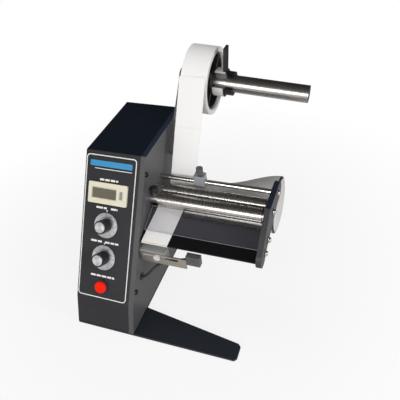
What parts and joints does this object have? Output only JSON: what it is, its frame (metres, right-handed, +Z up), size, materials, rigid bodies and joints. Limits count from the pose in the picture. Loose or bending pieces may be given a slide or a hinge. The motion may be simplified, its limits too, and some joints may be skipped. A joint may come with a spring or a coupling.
{
  "type": "bench label dispenser",
  "caption": "Bench label dispenser: slant-front control box, side-mounted rollers over a peel plate, edge sensor, bell-shaped take-up drum and a label roll on a tube above.",
  "frame": {"origin": "on the table, where the front edge of the base meets the outer face of the thick side plate", "axes": "+X along the rollers away from the housing, +Y towards the back, +Z up"},
  "size_m": [0.2263, 0.2682, 0.256],
  "materials": {
    "dark_paint": "satin powder coat",
    "black_plastic": "moulded",
    "counter_case": "moulded cream",
    "counter_window": "grey green display",
    "reset_key": "moulded",
    "bright_metal": "brushed",
    "zinc": "zinc plated",
    "steel": "ground steel",
    "dark_anodised": "black anodised",
    "red_button": "lit red",
    "roller_rubber": "smooth",
    "belt": "polyurethane",
    "clear": "clear acrylic",
    "thumb_screw": "knurled",
    "paper": "white paper",
    "liner": "glassine",
    "clip": "moulded white, with a black keeper bar",
    "sensor": "moulded grey",
    "nylon": "moulded white",
    "cable": "sheath",
    "board": "circuit board"
  },
  "bodies": {
    "chassis": {"base_plate": "dark_paint", "body_wrap": "dark_paint", "left_plate": "dark_paint", "side_plate": "dark_paint", "rear_cover": "dark_paint", "cord_gland": "black_plastic", "counter_case": "counter_case", "counter_window": "counter_window", "dial_plates": "bright_metal", "potentiometers": "zinc", "power_switch": "black_plastic", "motor": "zinc", "gearbox": "zinc", "drive_belt": "belt", "shaft_bearings": "steel", "guide_rod": "steel", "fixed_axles": "steel", "roller_links": "bright_metal", "outer_plate": "dark_paint", "plate_screws": "zinc", "peel_plate": "dark_anodised", "cross_bars": "steel", "press_plate": "clear", "press_bar": "bright_metal", "support_arm": "dark_paint", "roll_tube": "bright_metal", "label_web": "paper", "liner_return": "liner", "sensor_mount": "zinc", "sensor_screw": "nylon", "cable_gland": "black_plastic", "control_board": "board", "pinch_spring": "steel"},
    "length_dial": {"length_knob": "black_plastic", "length_cap": "bright_metal", "length_shaft": "steel"},
    "speed_dial": {"speed_knob": "black_plastic", "speed_cap": "bright_metal", "speed_shaft": "steel"},
    "power_key": {"power_button": "red_button"},
    "reset_key": {"counter_reset": "reset_key"},
    "drive_roller": {"drive_shaft": "steel", "drive_rubber": "roller_rubber", "drive_pulley": "bright_metal"},
    "take_up": {"take_up_shaft": "steel", "take_up_drum": "bright_metal", "take_up_pulley": "bright_metal"},
    "pinch_arm": {"pinch_lever": "zinc"},
    "pinch_roll": {"pinch_roller": "roller_rubber"},
    "guide_roll": {"guide_roller": "bright_metal"},
    "press_roll": {"press_roller": "bright_metal"},
    "pressure_dial": {"pressure_knob": "black_plastic"},
    "edge_guide": {"web_guide": "clear"},
    "guide_screw": {"thumb_screw": "thumb_screw"},
    "roll": {"core_adapter": "black_plastic", "label_roll": "paper"},
    "clip": {"roll_clip": "clip"},
    "sensor": {"sensor_bracket": "steel", "sensor_body": "sensor", "sensor_cable": "cable"}
  },
  "joints": [
    {"name": "length_knob_turn", "type": "hinge", "parent": "chassis", "child": "length_dial", "pos_m": [-0.042, 0.06105, 0.11191], "axis": [0, -0.8417, 0.5399], "range_deg": [-150, 150]},
    {"name": "speed_knob_turn", "type": "hinge", "parent": "chassis", "child": "speed_dial", "pos_m": [-0.042, 0.04054, 0.07993], "axis": [0, -0.8417, 0.5399], "range_deg": [-150, 150]},
    {"name": "power_button_push", "type": "slide", "parent": "chassis", "child": "power_key", "axis": [0, 0.8417, -0.5399], "range_m": [0, 0.002], "stiffness_N_per_m": 600, "springref_m": -0.001},
    {"name": "counter_reset_push", "type": "slide", "parent": "chassis", "child": "reset_key", "axis": [0, 0.8417, -0.5399], "range_m": [0, 0.0008], "stiffness_N_per_m": 800, "springref_m": -0.001},
    {"name": "drive_spin", "type": "hinge", "parent": "chassis", "child": "drive_roller", "pos_m": [0, 0.118, 0.1026], "axis": [1, 0, 0], "continuous": true},
    {"name": "take_up_spin", "type": "hinge", "parent": "chassis", "child": "take_up", "pos_m": [0, 0.178, 0.078], "axis": [1, 0, 0], "continuous": true},
    {"name": "pinch_lift", "type": "hinge", "parent": "chassis", "child": "pinch_arm", "pos_m": [0, 0.14, 0.0695], "axis": [1, 0, 0], "range_deg": [0, 6], "stiffness_Nm_per_rad": 2, "springref_deg": -5.73},
    {"name": "pinch_roller_spin", "type": "hinge", "parent": "pinch_arm", "child": "pinch_roll", "pos_m": [0, 0.118, 0.0835], "axis": [1, 0, 0], "continuous": true},
    {"name": "guide_roller_spin", "type": "hinge", "parent": "chassis", "child": "guide_roll", "pos_m": [0, 0.119, 0.128], "axis": [1, 0, 0], "continuous": true},
    {"name": "press_roller_spin", "type": "hinge", "parent": "chassis", "child": "press_roll", "pos_m": [0, 0.102, 0.128], "axis": [1, 0, 0], "continuous": true},
    {"name": "pressure_knob_turn", "type": "hinge", "parent": "chassis", "child": "pressure_dial", "pos_m": [0.00475, 0.102, 0.1373], "axis": [0, 0, 1], "range_deg": [-180, 180]},
    {"name": "web_guide_slide", "type": "slide", "parent": "chassis", "child": "edge_guide", "axis": [1, 0, 0], "range_m": [0, 0.07]},
    {"name": "thumb_screw_turn", "type": "hinge", "parent": "edge_guide", "child": "guide_screw", "pos_m": [0.0496, 0.132, 0.147], "axis": [0, 0, 1], "range_deg": [0, 360]},
    {"name": "roll_spin", "type": "hinge", "parent": "chassis", "child": "roll", "pos_m": [0.005, 0.2285, 0.215], "axis": [0.9981, 0, -0.061], "continuous": true},
    {"name": "roll_clip_slide", "type": "slide", "parent": "chassis", "child": "clip", "axis": [0.9981, 0, -0.061], "range_m": [0, 0.084]},
    {"name": "sensor_slide", "type": "slide", "parent": "chassis", "child": "sensor", "axis": [1, 0, 0], "range_m": [0, 0.016]}
  ],
  "couplings": [
    {"joint": "take_up_spin", "follows": "drive_spin", "ratio": 0.71429}
  ]
}
